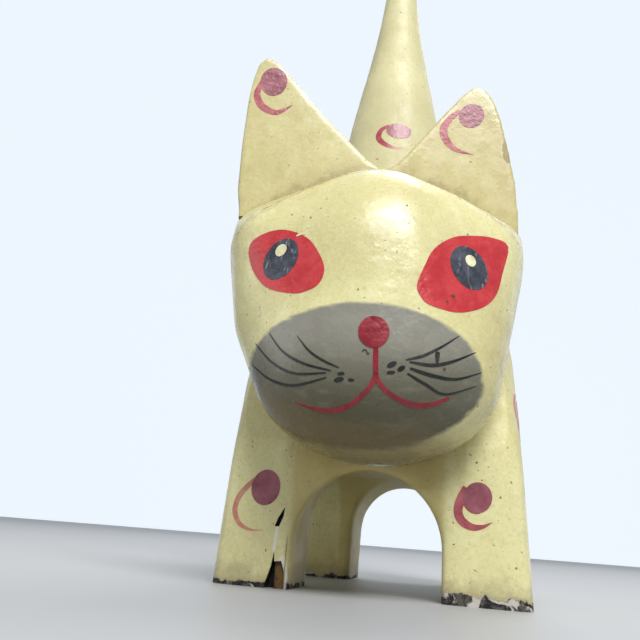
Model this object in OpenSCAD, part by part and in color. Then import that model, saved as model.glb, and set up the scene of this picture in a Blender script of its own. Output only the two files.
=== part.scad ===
// Carved and painted wooden cat, made of glued and pegged blocks.
// The cat faces -Y, +X is its left side and +Z is up. The origin lies on the
// surface it stands on, at the middle of the figure's outline.

/* [Stance] */
// Height of the leg blocks, up to the joint with the torso
leg_h = 22; // [18:0.5:24]
// Width of each leg block at its sole
leg_w = 19; // [17:0.5:22]
// Front-to-back size of each leg block at its sole
leg_d = 20; // [18:0.5:23]
// Distance between the middles of the front and the hind legs
leg_pitch_y = 65; // [60:1:68]
// Free width between the front legs at the floor
arch_w = 29; // [26:0.5:31]
// Height of the arch under the chest and belly
arch_h = 26; // [24.5:0.5:27]
// How far the hind legs stand inwards of the front legs
hind_inset = 3; // [0:0.5:4]

/* [Torso] */
// Width of the torso at the shoulders
torso_w = 63; // [58:1:66]
// Height of the back between the neck and the tail
back_h = 82; // [78:1:86]

/* [Head] */
// Width of the head across the cheeks
head_w = 66; // [62:1:68]
// Height of the crown of the forehead
crown_h = 97; // [94:0.5:100]
// Turn of the head towards the cat's left, in degrees
head_turn = 10; // [0:1:12]
// Lean of the neck joint's plane from upright, in degrees
neck_lean = 22; // [19:1:24]

/* [Ears] */
// Height of the right ear's tip
right_ear_h = 130; // [122:1:134]
// Height of the left ear's tip
left_ear_h = 125; // [118:1:130]
// Distance of the right ear's tip from the middle of the head
right_ear_x = 30.5; // [26:0.5:32]
// Distance of the left ear's tip from the middle of the head
left_ear_x = 24; // [21:0.5:28]
// Rounding of the right ear's tip
right_ear_r = 2.5; // [2:0.25:5]
// Rounding of the left ear's tip
left_ear_r = 3.5; // [2:0.25:5]
// Thickness of an ear at its seat
ear_t = 10; // [8:0.5:11]

/* [Tail] */
// Height of the tail's tip
tail_h = 235; // [215:1:245]
// Sideways place of the tail, measured from the middle of the torso
tail_x = -6; // [-6:0.5:0]

/* [Joinery] */
// Diameter of the two neck dowels
neck_dowel_d = 8; // [6:0.5:9]
// Diameter of the dowel in each leg
leg_dowel_d = 6; // [5:0.5:7]
// Diameter of the bamboo pins under each ear
ear_pin_d = 3; // [2:0.25:3.5]
// Side of the tail's square peg
tail_peg_w = 10; // [8:0.5:12]
// Gap round a peg or pin that has to slide
slide_gap = 0.08; // [0.05:0.01:0.15]

/* [Hidden] */
$fn = 48;
hull_fn = 32;
big = 200;

// The paint's cream coat, bare wood and bamboo
cream = [0.86, 0.82, 0.60];
bare_wood = [0.62, 0.42, 0.24];
bamboo = [0.80, 0.66, 0.42];

// The stance's middle lies behind the middle of the outline, because the muzzle reaches forward
stance_y = 9;
front_y = stance_y - leg_pitch_y / 2;
hind_y = stance_y + leg_pitch_y / 2;
front_x = (arch_w + leg_w) / 2;

// The tail's seat on the rump
tail_y = 36;
tail_seat_z = 104;
tail_seat_r = 22.5;

// The neck joint's plane passes through this point
neck_point = [0, -22.5, 57.5];

// The head's own place and the rebate where the ears stand
head_y = -35.5;
ear_plane = 6;
ear_seat_z = 84;
seam = 0.3;
ear_pin_len = 22;
ear_pin_depth = 10;
ear_pin_x = [9, 21];

tail_peg_len = 46;
tail_peg_depth = 26;
leg_dowel_len = 22;
leg_dowel_depth = 11;
neck_dowel_len = 28;
neck_dowel_x = 11;

// Radius of the tail at each height above its seat: it flares towards the rump
tail_profile = [[0, 22.5], [10, 20.9], [20, 19.3], [32, 17.5], [46, 15.4], [61, 12.6],
                [70, 10.7], [90, 7.3], [110, 4.9], [124, 3.7]];
tail_tip_r = 3.4;

module ellipsoid(at, radii) {
    translate(at) scale(radii) sphere(r = 1, $fn = hull_fn);
}

module rounded_plate(at, w, d, r, t = 1) {
    translate(at) linear_extrude(t) offset(r = r, $fn = hull_fn)
        square([w - 2 * r, d - 2 * r], center = true);
}

// Everything behind and below the neck joint
module behind_neck() {
    translate(neck_point) rotate([-neck_lean, 0, 0])
        translate([-big, 0, -big]) cube([2 * big, big, 2 * big]);
}

// Everything in front of and above the neck joint
module before_neck() {
    translate(neck_point) rotate([-neck_lean, 0, 0])
        translate([-big, -big, -big]) cube([2 * big, big, 2 * big]);
}

module place_head() {
    translate([0, head_y, 0]) rotate([0, 0, head_turn]) children();
}

// Dowel across the neck joint, square to its plane
module neck_dowel(x, d, len) {
    translate(neck_point) rotate([-neck_lean, 0, 0])
        translate([x, 0, 0]) rotate([90, 0, 0]) cylinder(d = d, h = len, center = true);
}

module neck_dowel_holes() {
    for (side = [-1, 1])
        neck_dowel(side * neck_dowel_x, neck_dowel_d, neck_dowel_len);
}

// Middle of a leg block, for side -1 (right) or 1 (left)
function leg_at(side, front) =
    front ? [side * front_x, front_y]
          : [side * (front_x - hind_inset), hind_y];

module leg_dowel(side, front, d, len) {
    at = leg_at(side, front);
    translate([at.x, at.y, leg_h - leg_dowel_depth]) cylinder(d = d, h = len);
}

module leg_dowel_holes() {
    for (side = [-1, 1], front = [true, false])
        leg_dowel(side, front, leg_dowel_d, leg_dowel_len);
}

// Opening between the right and the left legs, seen from the front
module arch_outline() {
    half = arch_w / 2;
    translate([-half, -1]) square([arch_w, arch_h - half + 1]);
    translate([0, arch_h - half]) circle(r = half);
}

// Opening between the front and the hind legs, seen from the side
module flank_outline() {
    gap = leg_pitch_y - leg_d;
    r = 11;
    translate([stance_y - gap / 2, -1]) square([gap, arch_h - r + 1]);
    translate([stance_y - gap / 2 + r, -1]) square([gap - 2 * r, arch_h + 1]);
    for (side = [-1, 1])
        translate([stance_y + side * (gap / 2 - r), arch_h - r]) circle(r = r);
}

module belly_openings() {
    rotate([90, 0, 0]) linear_extrude(2 * big, center = true) arch_outline();
    rotate([90, 0, 90]) linear_extrude(2 * big, center = true) flank_outline();
}

module torso_barrel() {
    hull() {
        for (side = [-1, 1]) {
            ellipsoid([side * 12, -8, 52], [torso_w / 2 - 12, 24, back_h - 52]);
            ellipsoid([side * 12, 36, 54], [torso_w / 2 - 12, 22.5, back_h - 50]);
            for (front = [true, false])
                let (at = leg_at(side, front))
                    rounded_plate([at.x, at.y, leg_h], leg_w - 1, leg_d, 6);
        }
    }
}

// The rump rises into the tail's seat
module rump_cone() {
    hull() {
        ellipsoid([0, 36, 62], [24, 22, 24]);
        translate([tail_x, tail_y, tail_seat_z - 1]) cylinder(r = tail_seat_r, h = 1);
    }
}

module tail_mortise() {
    side = tail_peg_w + 2 * slide_gap;
    depth = tail_peg_depth + 1;
    translate([tail_x, tail_y, tail_seat_z - depth / 2])
        cube([side, side, depth + 0.001], center = true);
}

module torso() {
    color(cream) difference() {
        intersection() {
            union() {
                torso_barrel();
                rump_cone();
            }
            behind_neck();
            translate([-big, -big, leg_h]) cube([2 * big, 2 * big, big]);
        }
        belly_openings();
        leg_dowel_holes();
        neck_dowel_holes();
        tail_mortise();
    }
}

module leg(side, front) {
    at = leg_at(side, front);
    color(cream) difference() {
        hull() {
            rounded_plate([at.x, at.y, 0], leg_w - 2, leg_d - 2, 4);
            rounded_plate([at.x, at.y, 1.2], leg_w, leg_d, 5);
            rounded_plate([at.x - side * 2.4, at.y, leg_h - 1], leg_w + 4, leg_d + 1, 5);
        }
        belly_openings();
        leg_dowel(side, front, leg_dowel_d, leg_dowel_len);
    }
}

module leg_dowel_part(side, front) {
    color(bare_wood) leg_dowel(side, front, leg_dowel_d, leg_dowel_len);
}

// The whole head before the ears' seat and the neck joint are cut
module head_block() {
    half = head_w / 2;
    hull() {
        ellipsoid([0, 3, 72], [half, 20, crown_h - 72]);
        ellipsoid([0, -2, 58], [half - 1, 18, 20]);
        ellipsoid([0, -6, 45], [24, 17, 19]);
        ellipsoid([0, 6, 44], [23, 18, 16]);
        ellipsoid([0, 14, 74], [half - 2, 12, 14]);
    }
}

// Rebate behind the forehead where the ears stand
module ear_seat() {
    translate([-big, ear_plane, ear_seat_z]) cube([2 * big, big, big]);
}

module ear_pins(side, gap = 0) {
    for (x = ear_pin_x)
        translate([side * x, ear_plane + seam + ear_t / 2, ear_seat_z - ear_pin_depth])
            cylinder(d = ear_pin_d + 2 * gap, h = ear_pin_len);
}

module head() {
    color(cream) difference() {
        intersection() {
            place_head() head_block();
            before_neck();
        }
        place_head() {
            ear_seat();
            for (side = [-1, 1])
                translate([0, 0, -1]) ear_pins(side, slide_gap);
        }
        neck_dowel_holes();
    }
}

// Wedge-shaped ear: thick at its seat, with its tip set outwards
module ear(side, tip_h, tip_x, tip_r) {
    half = head_w / 2;
    front = ear_plane + seam;
    color(cream) place_head() difference() {
        hull() {
            translate([side * (half / 2 - 0.2), front + 0.5, ear_seat_z + 3])
                cube([half - 1, 1, 6 - 2 * seam], center = true);
            translate([side * (half / 2 - 1.5), front + ear_t / 2, ear_seat_z + 3])
                cube([half - 3.6, ear_t, 6 - 2 * seam], center = true);
            translate([side * 3.4, front, 98]) rotate([-90, 0, 0]) cylinder(r = 3, h = ear_t - 3);
            translate([side * (half - 3), front, 98]) rotate([-90, 0, 0]) cylinder(r = 4, h = 7);
            translate([side * tip_x, front, tip_h - tip_r]) rotate([-90, 0, 0])
                cylinder(r = tip_r, h = 4.5);
        }
        ear_pins(side, 0);
    }
}

module ear_pins_part(side) {
    color(bamboo) place_head() ear_pins(side);
}

module tail() {
    top = tail_h - tail_seat_z;
    color(cream) translate([tail_x, tail_y, tail_seat_z + seam]) difference() {
        union() {
            rotate_extrude()
                polygon(concat([[0, 0]], [for (p = tail_profile) [p.y, p.x]],
                    [[tail_tip_r, top - tail_tip_r], [0, top - tail_tip_r]]));
            translate([0, 0, top - tail_tip_r]) sphere(r = tail_tip_r);
        }
        translate([0, 0, (tail_peg_len - tail_peg_depth) / 2 - seam])
            cube([tail_peg_w, tail_peg_w, tail_peg_len - tail_peg_depth], center = true);
    }
}

module tail_peg() {
    color(bare_wood)
        translate([tail_x, tail_y, tail_seat_z - tail_peg_depth + tail_peg_len / 2])
            cube([tail_peg_w, tail_peg_w, tail_peg_len], center = true);
}

torso();
head();
ear(-1, right_ear_h, right_ear_x, right_ear_r);  // ear_right
ear(1, left_ear_h, left_ear_x, left_ear_r);  // ear_left
ear_pins_part(-1);  // ear_right_pins
ear_pins_part(1);  // ear_left_pins
leg(-1, true);  // front_right_leg
leg(1, true);  // front_left_leg
leg(-1, false);  // hind_right_leg
leg(1, false);  // hind_left_leg
leg_dowel_part(-1, true);  // front_right_dowel
leg_dowel_part(1, true);  // front_left_dowel
leg_dowel_part(-1, false);  // hind_right_dowel
leg_dowel_part(1, false);  // hind_left_dowel
color(bare_wood) neck_dowel(-neck_dowel_x, neck_dowel_d, neck_dowel_len);  // neck_right_dowel
color(bare_wood) neck_dowel(neck_dowel_x, neck_dowel_d, neck_dowel_len);  // neck_left_dowel
tail();
tail_peg();
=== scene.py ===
import math
import bpy
from mathutils import Matrix, Vector


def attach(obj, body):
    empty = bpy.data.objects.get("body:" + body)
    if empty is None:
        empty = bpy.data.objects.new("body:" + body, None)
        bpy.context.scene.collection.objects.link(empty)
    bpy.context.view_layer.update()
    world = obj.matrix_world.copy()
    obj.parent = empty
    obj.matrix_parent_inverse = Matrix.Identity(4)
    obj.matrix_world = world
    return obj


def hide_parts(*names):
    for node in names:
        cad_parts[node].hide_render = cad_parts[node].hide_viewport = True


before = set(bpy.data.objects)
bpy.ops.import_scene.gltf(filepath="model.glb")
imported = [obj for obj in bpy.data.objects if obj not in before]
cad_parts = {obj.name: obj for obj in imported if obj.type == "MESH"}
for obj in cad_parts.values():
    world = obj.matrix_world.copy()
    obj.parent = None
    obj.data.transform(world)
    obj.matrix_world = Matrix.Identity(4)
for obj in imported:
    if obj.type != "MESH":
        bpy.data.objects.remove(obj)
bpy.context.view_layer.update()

# ---------------------------------------------------------------------------
# Camera: a phone held just above the table, a hand's length from the cat,
# looking slightly up into its face.
# ---------------------------------------------------------------------------
bpy.ops.object.camera_add(location=(0.020, -0.1885, 0.0105),
                          rotation=(math.radians(106.9), 0, math.radians(12)))
camera = bpy.context.object
camera.name = "camera"
camera.matrix_world = camera.matrix_world @ Matrix.Rotation(math.radians(4.5), 4, "Z")
camera.data.lens = 40.5
camera.data.sensor_width = 36
camera.data.clip_start = 0.005
bpy.context.scene.camera = camera
bpy.context.scene.view_settings.view_transform = "Standard"

# ---------------------------------------------------------------------------
# Cream enamel: two thin coats over white gesso, yellowed and handled. It has
# slow clouds from the brush, fine pits with dirt in them, dirt and painted shade
# in the creases and an orange-peel skin. Every painted block of the cat wears it.
# ---------------------------------------------------------------------------
def add(tree, kind, sockets=None, links=None, **settings):
    """A new node with its settings, its socket values and what feeds it."""
    made = tree.nodes.new(kind)
    for name, value in settings.items():
        setattr(made, name, value)
    for name, value in (sockets or {}).items():
        made.inputs[name].default_value = value
    for name, source in (links or {}).items():
        tree.links.new(source, made.inputs[name])
    return made


def ramp(tree, source, low, high, start=0.0, end=1.0):
    """A soft step from start to end as the source goes from low to high."""
    made = add(tree, "ShaderNodeMapRange", {"From Min": low, "From Max": high, "To Min": start, "To Max": end},
               {"Value": source}, interpolation_type="SMOOTHSTEP")
    return made.outputs["Result"]


def sums(tree, operation, first, second):
    """Arithmetic on two numbers or sockets."""
    made = tree.nodes.new("ShaderNodeMath")
    made.operation = operation
    for socket, value in zip(made.inputs, (first, second)):
        if isinstance(value, (int, float)):
            socket.default_value = value
        else:
            tree.links.new(value, socket)
    return made.outputs[0]


def plus(tree, first, second):
    return sums(tree, "ADD", first, second)


def minus(tree, first, second):
    return sums(tree, "SUBTRACT", first, second)


def times(tree, first, second):
    return sums(tree, "MULTIPLY", first, second)


def near(tree, source, middle, none, full):
    """One within the full distance of the middle, fading to nothing at the other distance."""
    return ramp(tree, sums(tree, "ABSOLUTE", minus(tree, source, middle), 0), none, full)


def noise(tree, vector, scale, detail, roughness=0.5, distortion=0.0):
    """Blotches from nought to one, finer the higher the scale."""
    return add(tree, "ShaderNodeTexNoise", {"Scale": scale, "Detail": detail, "Roughness": roughness,
                                            "Distortion": distortion}, {"Vector": vector}).outputs["Fac"]


def blend(tree, share, first, second):
    """The first colour with this share of the second over it."""
    made = tree.nodes.new("ShaderNodeMix")
    made.data_type = "RGBA"
    for socket, value in ((made.inputs[0], share), (made.inputs[6], first), (made.inputs[7], second)):
        if isinstance(value, (int, float, tuple)):
            socket.default_value = value
        else:
            tree.links.new(value, socket)
    return made.outputs[2]


cream = bpy.data.node_groups.new("cream_enamel", "ShaderNodeTree")
for name, kind in (("Color", "NodeSocketColor"), ("Roughness", "NodeSocketFloat"), ("Height", "NodeSocketFloat")):
    cream.interface.new_socket(name, in_out="OUTPUT", socket_type=kind)
place = add(cream, "ShaderNodeTexCoord").outputs["Object"]
clouds = noise(cream, place, 34, 3)
mottle = noise(cream, place, 210, 6, 0.62)
drawn = add(cream, "ShaderNodeMapping", {"Scale": (1, 1, 0.16)}, {"Vector": place}).outputs["Vector"]
strokes = noise(cream, drawn, 420, 3)
base = blend(cream, ramp(cream, clouds, 0.36, 0.64), (0.590, 0.540, 0.262, 1), (0.720, 0.678, 0.350, 1))
base = blend(cream, ramp(cream, mottle, 0.42, 0.72, 0, 0.30), base, (0.52, 0.46, 0.20, 1))
base = blend(cream, ramp(cream, strokes, 0.50, 0.74, 0, 0.22), base, (0.80, 0.77, 0.50, 1))
sand = noise(cream, place, 1300, 4, 0.7)
base = blend(cream, ramp(cream, sand, 0.52, 0.70, 0, 0.34), base, (0.42, 0.35, 0.15, 1))
base = blend(cream, ramp(cream, sand, 0.48, 0.32, 0, 0.22), base, (0.86, 0.84, 0.60, 1))
# Pits: a few cells in a hundred hold a dark ragged speck
ragged = add(cream, "ShaderNodeTexNoise", {"Scale": 1500, "Detail": 2}, {"Vector": place})
shaken = add(cream, "ShaderNodeVectorMath", {"Scale": 0.0011}, {0: ragged.outputs["Color"]}, operation="SCALE")
off_place = add(cream, "ShaderNodeVectorMath", None, {0: place, 1: shaken.outputs[0]}, operation="ADD").outputs[0]
pits = None
for cell, bore, chance in ((230, 0.085, 0.42), (430, 0.13, 0.40), (900, 0.17, 0.48)):
    cells = add(cream, "ShaderNodeTexVoronoi", {"Scale": cell}, {"Vector": off_place})
    lot = add(cream, "ShaderNodeSeparateColor", None, {"Color": cells.outputs["Color"]})
    size = ramp(cream, lot.outputs[0], chance, 1.0, 0.0, bore)
    spot = minus(cream, size, cells.outputs["Distance"])
    spot = ramp(cream, spot, 0.0, 0.035)
    pits = spot if pits is None else sums(cream, "MAXIMUM", pits, spot)
# Creases are darkened brown by their pointiness: dirt, and painted shade where less light reaches
hollow = add(cream, "ShaderNodeNewGeometry").outputs["Pointiness"]
crease_dirt_and_shade = ramp(cream, plus(cream, hollow, times(cream, mottle, 0.05)), 0.515, 0.44)
smears = ramp(cream, noise(cream, place, 75, 5, 0.7), 0.57, 0.72, 0, 0.48)
base = blend(cream, smears, base, (0.44, 0.34, 0.15, 1))
base = blend(cream, times(cream, crease_dirt_and_shade, 0.55), base, (0.22, 0.16, 0.055, 1))
base = blend(cream, times(cream, pits, 0.80), base, (0.095, 0.060, 0.025, 1))
skin = noise(cream, place, 900, 2)
waves = noise(cream, place, 130, 2)
relief = plus(cream, times(cream, skin, 0.16), times(cream, waves, 0.75))
relief = plus(cream, relief, times(cream, mottle, 0.30))
relief = minus(cream, relief, times(cream, pits, 0.35))
shine = plus(cream, ramp(cream, mottle, 0.35, 0.70, 0.19, 0.40), times(cream, pits, 0.4))
shine = plus(cream, shine, times(cream, crease_dirt_and_shade, 0.15))
add(cream, "NodeGroupOutput", None, {"Color": base, "Roughness": shine, "Height": relief})

# Bare softwood, seen only where a joint is drawn apart: yellow-brown, with
# darker fibres along the grain that the given vector is drawn out in.
bare_wood = bpy.data.node_groups.new("bare_wood", "ShaderNodeTree")
bare_wood.interface.new_socket("Vector", in_out="INPUT", socket_type="NodeSocketVector")
bare_wood.interface.new_socket("Color", in_out="OUTPUT", socket_type="NodeSocketColor")
bare_wood.interface.new_socket("Height", in_out="OUTPUT", socket_type="NodeSocketFloat")
given = add(bare_wood, "NodeGroupInput").outputs["Vector"]
fibres = noise(bare_wood, given, 900, 4)
rings = noise(bare_wood, given, 190, 2, distortion=1.5)
timber = blend(bare_wood, ramp(bare_wood, rings, 0.40, 0.60), (0.36, 0.23, 0.12, 1), (0.54, 0.39, 0.22, 1))
timber = blend(bare_wood, ramp(bare_wood, fibres, 0.50, 0.70, 0, 0.5), timber, (0.22, 0.13, 0.06, 1))
add(bare_wood, "NodeGroupOutput", None, {"Color": timber, "Height": fibres})

# ---------------------------------------------------------------------------
# Body block: torso and legs are shaped together, as a carver dresses them
# after glue-up, so the faces run flush over the leg joints. Softwood, rasped
# and sanded, then sawn apart here at the joints 22 mm above the soles.
# ---------------------------------------------------------------------------
leg_joint = 0.022
tail_joint = 0.104
neck_joint = (0, -0.0225, 0.0575)
neck_slope = (0, -math.cos(math.radians(22)), math.sin(math.radians(22)))
straight_up = (0, 0, 1)
tail_x, tail_y = -0.006, 0.036
# Ochre for the openings under the body: yellowed dirt and painted shade
ochre_dirt_and_shade = (0.46, 0.35, 0.11, 1)
opening_edge = (0.0172, 0.0150)


def take(*pieces):
    """Leaves only these pieces selected, with the first one in hand."""
    bpy.ops.object.select_all(action="DESELECT")
    for piece in pieces:
        piece.select_set(True)
    bpy.context.view_layer.objects.active = pieces[0]


def work(piece, tool, **settings):
    """Puts one modifier on a piece and applies it."""
    take(piece)
    bpy.ops.object.modifier_add(type=tool)
    for name, value in settings.items():
        setattr(piece.modifiers[-1], name, value)
    bpy.ops.object.modifier_apply(modifier=piece.modifiers[-1].name)


def rasp(piece, tooth, strokes):
    """Evens a block out to the rasp's tooth and rubs its edges down."""
    work(piece, "REMESH", mode="VOXEL", voxel_size=tooth)
    work(piece, "SMOOTH", factor=0.5, iterations=strokes)


def cut(piece, tool):
    """Takes the tool's shape out of a piece."""
    work(piece, "BOOLEAN", operation="DIFFERENCE", solver="EXACT", object=tool)
    bpy.data.objects.remove(tool)


def saw(piece, *cuts):
    """Saws through a piece: a point and a facing for each cut, and whether the part behind it falls off."""
    take(piece)
    bpy.ops.object.mode_set(mode="EDIT")
    for at, facing, behind in cuts:
        bpy.ops.mesh.select_all(action="SELECT")
        bpy.ops.mesh.bisect(plane_co=at, plane_no=facing, use_fill=True,
                            clear_inner=behind, clear_outer=not behind)
    bpy.ops.object.mode_set(mode="OBJECT")


def rough_out(blanks, name):
    """Joins rough lumps and stretches one skin over them."""
    take(*blanks)
    bpy.ops.object.join()
    bpy.ops.object.transform_apply(location=True, rotation=True, scale=True)
    bpy.ops.object.mode_set(mode="EDIT")
    bpy.ops.mesh.select_all(action="SELECT")
    bpy.ops.mesh.convex_hull()
    bpy.ops.object.mode_set(mode="OBJECT")
    bpy.context.object.name = name
    return bpy.context.object


def mix_paint(name):
    """A new paint and the tree its finish is built in."""
    paint = bpy.data.materials.new(name)
    paint.use_nodes = True
    return paint, paint.node_tree


def lay_coat(paint, pieces, colour, roughness, height, strength=0.5, skin=0.0006, gleam=0.5):
    """Joins a finish to its paint's shader and brushes it on the pieces."""
    tree = paint.node_tree
    bump = add(tree, "ShaderNodeBump", {"Strength": strength, "Distance": skin}, {"Height": height})
    shader = tree.nodes["Principled BSDF"]
    shader.inputs["Specular IOR Level"].default_value = gleam
    for socket, source in (("Base Color", colour), ("Roughness", roughness), ("Normal", bump.outputs["Normal"])):
        tree.links.new(source, shader.inputs[socket])
    for piece in pieces:
        piece.data.materials.clear()
        piece.data.materials.append(paint)


bpy.ops.object.select_all(action="DESELECT")
blanks = []
for x, y, wide, lean in ((-23.4, -23.3, 16.8, 3.4), (24.0, -23.3, 19.2, -4.0),
                         (-21, 41.5, 18.5, 2), (21, 41.5, 18.5, -2)):
    bpy.ops.mesh.primitive_cube_add(size=1, location=(x * 0.001, y * 0.001, 0.006),
                                    rotation=(0, math.radians(lean), 0),
                                    scale=(wide * 0.001, 0.0205, 0.036))
    blanks.append(bpy.context.object)
shoulder, haunch = (0.0184, 0.0235, 0.031), (0.0185, 0.0225, 0.032)
for at, radii in (((-0.0163, -0.0085, 0.049), shoulder), ((-0.0125, 0.036, 0.054), haunch),
                  ((0.0135, -0.0085, 0.049), shoulder), ((0.0125, 0.036, 0.054), haunch)):
    bpy.ops.mesh.primitive_uv_sphere_add(segments=48, ring_count=24, radius=1, location=at, scale=radii)
    blanks.append(bpy.context.object)
carving = rough_out(blanks, "torso_carving")

# The rump swells up into the round seat of the tail.
bpy.ops.mesh.primitive_cone_add(vertices=64, radius1=0.0240, radius2=0.0222, depth=0.042,
                                location=(-0.006, 0.0355, 0.089))
seat = bpy.context.object
work(seat, "BEVEL", width=0.004)
take(carving, seat)
bpy.ops.object.join()

# First pass with the rasp, then the openings under chest and belly.
rasp(carving, 0.0012, 26)
cutters = []
for x, y, long, crown_r, back_r, z, tilt, flare in (
        (0.0003, -0.025, 0.040, 0.0154, 0.0160, 0.0106, 99.4, 1.02),
        (0.0017, 0.048, 0.050, 0.0138, 0.0138, 0.0147, 90.0, 1.03)):
    bpy.ops.mesh.primitive_cone_add(vertices=64, radius1=back_r, radius2=crown_r, depth=long,
                                    location=(x, y, z), rotation=(math.radians(tilt), 0, 0))
    cutters.append(bpy.context.object)
    bpy.ops.mesh.primitive_cube_add(size=1, location=(x, y, z - 0.020), scale=(1, long, 0.040))
    cutters.append(bpy.context.object)
    for v in cutters[-1].data.vertices:
        v.co.x *= 2 * (back_r if v.co.y > 0 else crown_r) * (flare if v.co.z < 0 else 1)
bpy.ops.mesh.primitive_cube_add(size=1, location=(0, 0.009, 0.002), scale=(0.12, 0.0445, 0.053))
flank = bpy.context.object
cutters.append(flank)
bpy.ops.object.transform_apply(location=True, rotation=True, scale=True)
work(flank, "BEVEL", width=0.011, segments=8)
for cutter in cutters:
    cut(carving, cutter)
rasp(carving, 0.0008, 16)

# Sawn through at the joints with the legs, the tail and the neck.
bpy.ops.object.duplicate()
torso = bpy.context.object
torso.name = "torso_block"
saw(torso, ((0, 0, leg_joint), straight_up, True), ((0, 0, tail_joint), straight_up, False),
    (neck_joint, neck_slope, False))
# The square mortise that the tail's peg goes into
bpy.ops.mesh.primitive_cube_add(size=1, location=(tail_x, tail_y, 0.0925), scale=(0.0103, 0.0103, 0.0300))
cut(torso, bpy.context.object)
bpy.ops.object.shade_smooth_by_angle(angle=math.radians(50))
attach(torso, "figure")
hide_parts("torso")

torso_coat, tree = mix_paint("torso_enamel")
coat = add(tree, "ShaderNodeGroup", node_tree=cream).outputs
place = add(tree, "ShaderNodeTexCoord").outputs["Object"]
# Brown dirt caught in the crease under the chin, and painted shade there too
under_chin = add(tree, "ShaderNodeVectorMath", {1: (0.002, -0.037, 0.031)}, {0: place}, operation="DISTANCE")
ragged = noise(tree, place, 190, 6, 0.7)
reach = minus(tree, under_chin.outputs["Value"], times(tree, ragged, 0.030))
chin_crease_dirt_and_shade = ramp(tree, reach, 0.006, -0.004, 0, 0.42)
colour = blend(tree, chin_crease_dirt_and_shade, coat["Color"], (0.25, 0.17, 0.06, 1))
axes = add(tree, "ShaderNodeSeparateXYZ", None, {"Vector": place}).outputs
# The chest was cut as its own flat between the legs; it is painted darker than the legs' fronts, as shade on that
# flat
chest_painted_shade = times(tree, near(tree, axes["X"], 0.0012, 0.0200, 0.0188),
                   ramp(tree, axes["Z"], 0.021, 0.030, 0, 0.30))
chest_painted_shade = times(tree, chest_painted_shade, ramp(tree, axes["Y"], -0.012, -0.018))
colour = blend(tree, chest_painted_shade, colour, (0.36, 0.27, 0.11, 1))
# The openings under chest and belly are painted ochre: unwiped, yellowed paint, and painted shade with warm bounce
# light inside them
opening_dirt_and_shade = times(tree, near(tree, axes["X"], 0, *opening_edge), ramp(tree, axes["Z"], 0.034, 0.027))
colour = blend(tree, times(tree, opening_dirt_and_shade, 0.6), colour, ochre_dirt_and_shade)
# Bare wood on the tail's seat and inside the mortise
seat_face = ramp(tree, axes["Z"], 0.10370, 0.10390)
beside = [near(tree, axes[k], c, 0.0056, 0.0054) for k, c in (("X", tail_x), ("Y", tail_y))]
inside = times(tree, times(tree, *beside), ramp(tree, axes["Z"], 0.070, 0.074))
drawn = add(tree, "ShaderNodeMapping", {"Scale": (1, 0.2, 1)}, {"Vector": place}).outputs["Vector"]
joint_wood = add(tree, "ShaderNodeGroup", None, {"Vector": drawn}, node_tree=bare_wood).outputs["Color"]
open_wood = sums(tree, "MAXIMUM", seat_face, inside)
colour = blend(tree, open_wood, colour, joint_wood)
rough = plus(tree, coat["Roughness"], plus(tree, times(tree, opening_dirt_and_shade, 0.12), 0.20))
rough = plus(tree, rough, times(tree, open_wood, 0.4))
lay_coat(torso_coat, [torso], colour, rough, coat["Height"], gleam=0.35)

# ---------------------------------------------------------------------------
# Legs: four short posts with flat soles, glued under the torso on a dowel
# each. Softwood under the same gesso and cream enamel, worn at the soles.
# ---------------------------------------------------------------------------
def board(outline, face, thick):
    """A flat board cut to an outline in mm across and up, its front at the given y."""
    bpy.ops.object.select_all(action="DESELECT")
    bpy.ops.mesh.primitive_circle_add(vertices=len(outline), radius=0.01, fill_type="NGON")
    made = bpy.context.object
    for corner, (x, z) in zip(made.data.vertices, outline):
        corner.co = (x * 0.001, face, z * 0.001)
    bpy.ops.object.mode_set(mode="EDIT")
    bpy.ops.mesh.select_all(action="SELECT")
    bpy.ops.mesh.extrude_region_move(TRANSFORM_OT_translate={"value": (0, thick, 0)})
    bpy.ops.mesh.select_all(action="SELECT")
    bpy.ops.mesh.normals_make_consistent(inside=False)
    bpy.ops.object.mode_set(mode="OBJECT")
    return made


def apart_from(tree, vector, middle, reach, lean=0):
    """How far each place is from a middle, with one at the reach across, back and up."""
    seen = add(tree, "ShaderNodeMapping", {"Location": middle, "Rotation": (0, lean, 0), "Scale": reach},
               {"Vector": vector}, vector_type="TEXTURE").outputs["Vector"]
    return add(tree, "ShaderNodeVectorMath", None, {0: seen}, operation="LENGTH").outputs["Value"]


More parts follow.
